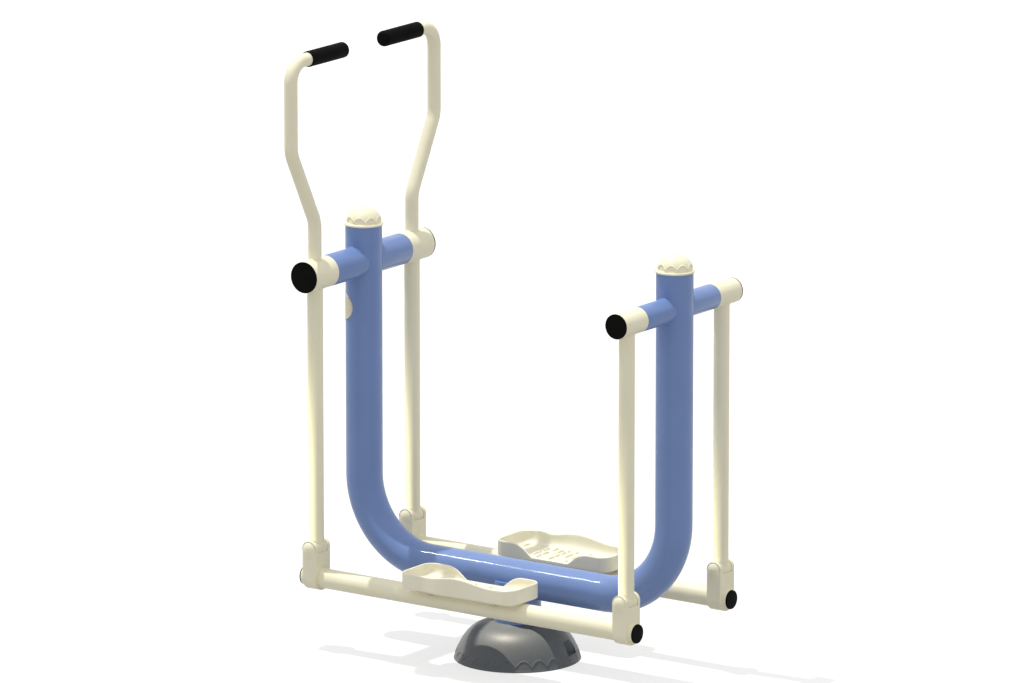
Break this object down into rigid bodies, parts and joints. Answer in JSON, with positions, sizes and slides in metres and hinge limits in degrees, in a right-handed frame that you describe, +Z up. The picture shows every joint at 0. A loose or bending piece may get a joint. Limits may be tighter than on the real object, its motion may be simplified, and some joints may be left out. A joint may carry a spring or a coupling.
{
  "type": "outdoor air walker",
  "caption": "Outdoor air walker: U-shaped tube frame on a domed pedestal, two crossbeams, swinging parallel arms with handles, and foot trays on level bars.",
  "frame": {"origin": "on the ground at the middle of the pedestal, which is the centre of the part's footprint", "axes": "+Z up; -X to the handle-side post, which the user faces; +Y to the user's right"},
  "size_m": [1.0008, 0.613, 1.4649],
  "materials": {
    "blue_paint": "gloss",
    "cream_paint": "gloss",
    "cap_cream": "gloss",
    "label_cream": "satin",
    "cover_grey": "gloss",
    "tray_cream": "satin",
    "grip_rubber": "satin",
    "black_plastic": "satin",
    "bearing_steel": "ground",
    "zinc_steel": "zinc plated",
    "bush_bronze": "satin",
    "rivet_aluminium": "satin"
  },
  "bodies": {
    "frame": {"axle_nuts": "zinc_steel", "base_cover_left": "cover_grey", "base_cover_right": "cover_grey", "base_cover_screws": "zinc_steel", "base_flange": "blue_paint", "base_gussets": "blue_paint", "beam_end_plates": "blue_paint", "bearing_inner_races": "bearing_steel", "front_axle": "bearing_steel", "front_crossbeam": "blue_paint", "front_post_cap": "cap_cream", "label_plate": "label_cream", "label_rivets": "rivet_aluminium", "pedestal_saddle_plates": "blue_paint", "pedestal_tube": "blue_paint", "rear_axle": "bearing_steel", "rear_crossbeam": "blue_paint", "rear_post_cap": "cap_cream", "u_frame": "blue_paint"},
    "left_front_arm": {"left_front_hub": "cream_paint", "left_front_hub_cap": "black_plastic", "left_front_bearing_outer_races": "bearing_steel", "left_front_arm": "cream_paint", "left_front_pivot_bushes": "bush_bronze", "left_handle": "cream_paint", "left_grip": "grip_rubber"},
    "left_rear_arm": {"left_rear_hub": "cream_paint", "left_rear_hub_cap": "black_plastic", "left_rear_bearing_outer_races": "bearing_steel", "left_rear_arm": "cream_paint", "left_rear_pivot_bushes": "bush_bronze"},
    "left_foot_bar": {"left_foot_bar": "cream_paint", "left_front_fork": "cream_paint", "left_rear_fork": "cream_paint", "left_bar_plugs": "black_plastic", "left_pivot_pins": "cream_paint", "left_foot_tray": "tray_cream", "left_tray_straps": "cream_paint", "left_tray_fasteners": "zinc_steel"},
    "right_front_arm": {"right_front_hub": "cream_paint", "right_front_hub_cap": "black_plastic", "right_front_bearing_outer_races": "bearing_steel", "right_front_arm": "cream_paint", "right_front_pivot_bushes": "bush_bronze", "right_handle": "cream_paint", "right_grip": "grip_rubber"},
    "right_rear_arm": {"right_rear_hub": "cream_paint", "right_rear_hub_cap": "black_plastic", "right_rear_bearing_outer_races": "bearing_steel", "right_rear_arm": "cream_paint", "right_rear_pivot_bushes": "bush_bronze"},
    "right_foot_bar": {"right_foot_bar": "cream_paint", "right_front_fork": "cream_paint", "right_rear_fork": "cream_paint", "right_bar_plugs": "black_plastic", "right_pivot_pins": "cream_paint", "right_foot_tray": "tray_cream", "right_tray_straps": "cream_paint", "right_tray_fasteners": "zinc_steel"}
  },
  "joints": [
    {"name": "left_front_swing", "type": "hinge", "parent": "frame", "child": "left_front_arm", "pos_m": [-0.453, -0.1975, 0.9175], "axis": [0, 1, 0], "range_deg": [-40, 40]},
    {"name": "left_bar_pivot", "type": "hinge", "parent": "left_front_arm", "child": "left_foot_bar", "pos_m": [-0.453, -0.1975, 0.2455], "axis": [0, 1, 0], "range_deg": [-40, 40]},
    {"name": "left_rear_swing", "type": "hinge", "parent": "frame", "child": "left_rear_arm", "pos_m": [0.453, -0.1975, 0.9175], "axis": [0, 1, 0], "range_deg": [-40, 40]},
    {"name": "right_front_swing", "type": "hinge", "parent": "frame", "child": "right_front_arm", "pos_m": [-0.453, 0.1975, 0.9175], "axis": [0, 1, 0], "range_deg": [-40, 40]},
    {"name": "right_bar_pivot", "type": "hinge", "parent": "right_front_arm", "child": "right_foot_bar", "pos_m": [-0.453, 0.1975, 0.2455], "axis": [0, 1, 0], "range_deg": [-40, 40]},
    {"name": "right_rear_swing", "type": "hinge", "parent": "frame", "child": "right_rear_arm", "pos_m": [0.453, 0.1975, 0.9175], "axis": [0, 1, 0], "range_deg": [-40, 40]}
  ],
  "couplings": [
    {"joint": "left_bar_pivot", "follows": "left_front_swing", "ratio": -1},
    {"joint": "left_rear_swing", "follows": "left_front_swing", "ratio": 1},
    {"joint": "right_bar_pivot", "follows": "right_front_swing", "ratio": -1},
    {"joint": "right_rear_swing", "follows": "right_front_swing", "ratio": 1}
  ]
}
